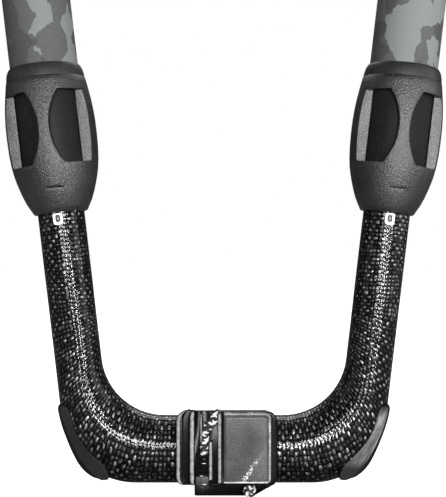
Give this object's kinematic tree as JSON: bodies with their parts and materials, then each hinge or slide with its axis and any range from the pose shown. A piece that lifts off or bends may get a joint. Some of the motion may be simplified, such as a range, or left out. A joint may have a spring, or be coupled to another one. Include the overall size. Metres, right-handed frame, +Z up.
{
  "type": "windsurfing boom tail end",
  "caption": "Carbon U-shaped tail end of an adjustable windsurfing boom, with sliding arm ends, twist-lock collars, bend pads and an outhaul fitting.",
  "frame": {"origin": "centre of the bounding box in X and Y, at the underside of the rear housing", "axes": "+X to the right arm, +Y from the plate side to the back, +Z up along the arms"},
  "size_m": [0.2666, 0.0488, 0.3865],
  "materials": {
    "carbon": "clear-coated plain-weave carbon fibre",
    "polymer": "matt moulded nylon with a fine grain",
    "jaw": "smooth",
    "pale_nylon": "smooth",
    "rubber": "satin",
    "grip": "matt foam grip with a three-tone camouflage print",
    "label": "printed film",
    "plate": "satin, lightly worn",
    "line": "black and white braid",
    "steel": "brushed"
  },
  "bodies": {
    "tail": {"tail_frame": "carbon", "fitting_body": "polymer", "fitting_back_shell": "polymer", "rear_housing": "polymer", "left_leg_bush": "polymer", "right_leg_bush": "polymer", "line_cleat": "jaw", "left_bend_pad": "rubber", "right_bend_pad": "rubber", "left_scale_label": "label", "right_scale_label": "label", "cover_plate": "plate", "cleat_strap": "plate", "outhaul_line": "line", "back_screw_1": "steel", "back_screw_2": "steel", "back_screw_3": "steel", "back_screw_4": "steel", "front_screw_1": "steel", "front_screw_2": "steel", "housing_screw_1": "steel", "housing_screw_2": "steel"},
    "left_arm": {"left_arm_tube": "carbon", "left_collar_ferrule": "polymer", "left_thrust_washer": "pale_nylon", "left_collar_collet": "pale_nylon", "left_arm_grip": "grip"},
    "right_arm": {"right_arm_tube": "carbon", "right_collar_ferrule": "polymer", "right_thrust_washer": "pale_nylon", "right_collar_collet": "pale_nylon", "right_arm_grip": "grip"},
    "left_collar": {"left_collar_shell": "polymer", "left_wiper_seal": "rubber", "left_collar_keeper": "steel"},
    "right_collar": {"right_collar_shell": "polymer", "right_wiper_seal": "rubber", "right_collar_keeper": "steel"}
  },
  "joints": [
    {"name": "left_arm_slide", "type": "slide", "parent": "tail", "child": "left_arm", "axis": [-0.1167, 0, 0.9932], "range_m": [0, 0.14]},
    {"name": "left_collar_twist", "type": "hinge", "parent": "left_arm", "child": "left_collar", "pos_m": [-0.09409, 0, 0.19093], "axis": [-0.1167, 0, 0.9932], "range_deg": [0, 90]},
    {"name": "right_arm_slide", "type": "slide", "parent": "tail", "child": "right_arm", "axis": [0.1167, 0, 0.9932], "range_m": [0, 0.14]},
    {"name": "right_collar_twist", "type": "hinge", "parent": "right_arm", "child": "right_collar", "pos_m": [0.09409, 0, 0.19093], "axis": [0.1167, 0, 0.9932], "range_deg": [0, 90]}
  ],
  "couplings": [
    {"joint": "right_arm_slide", "follows": "left_arm_slide", "ratio": 1}
  ]
}
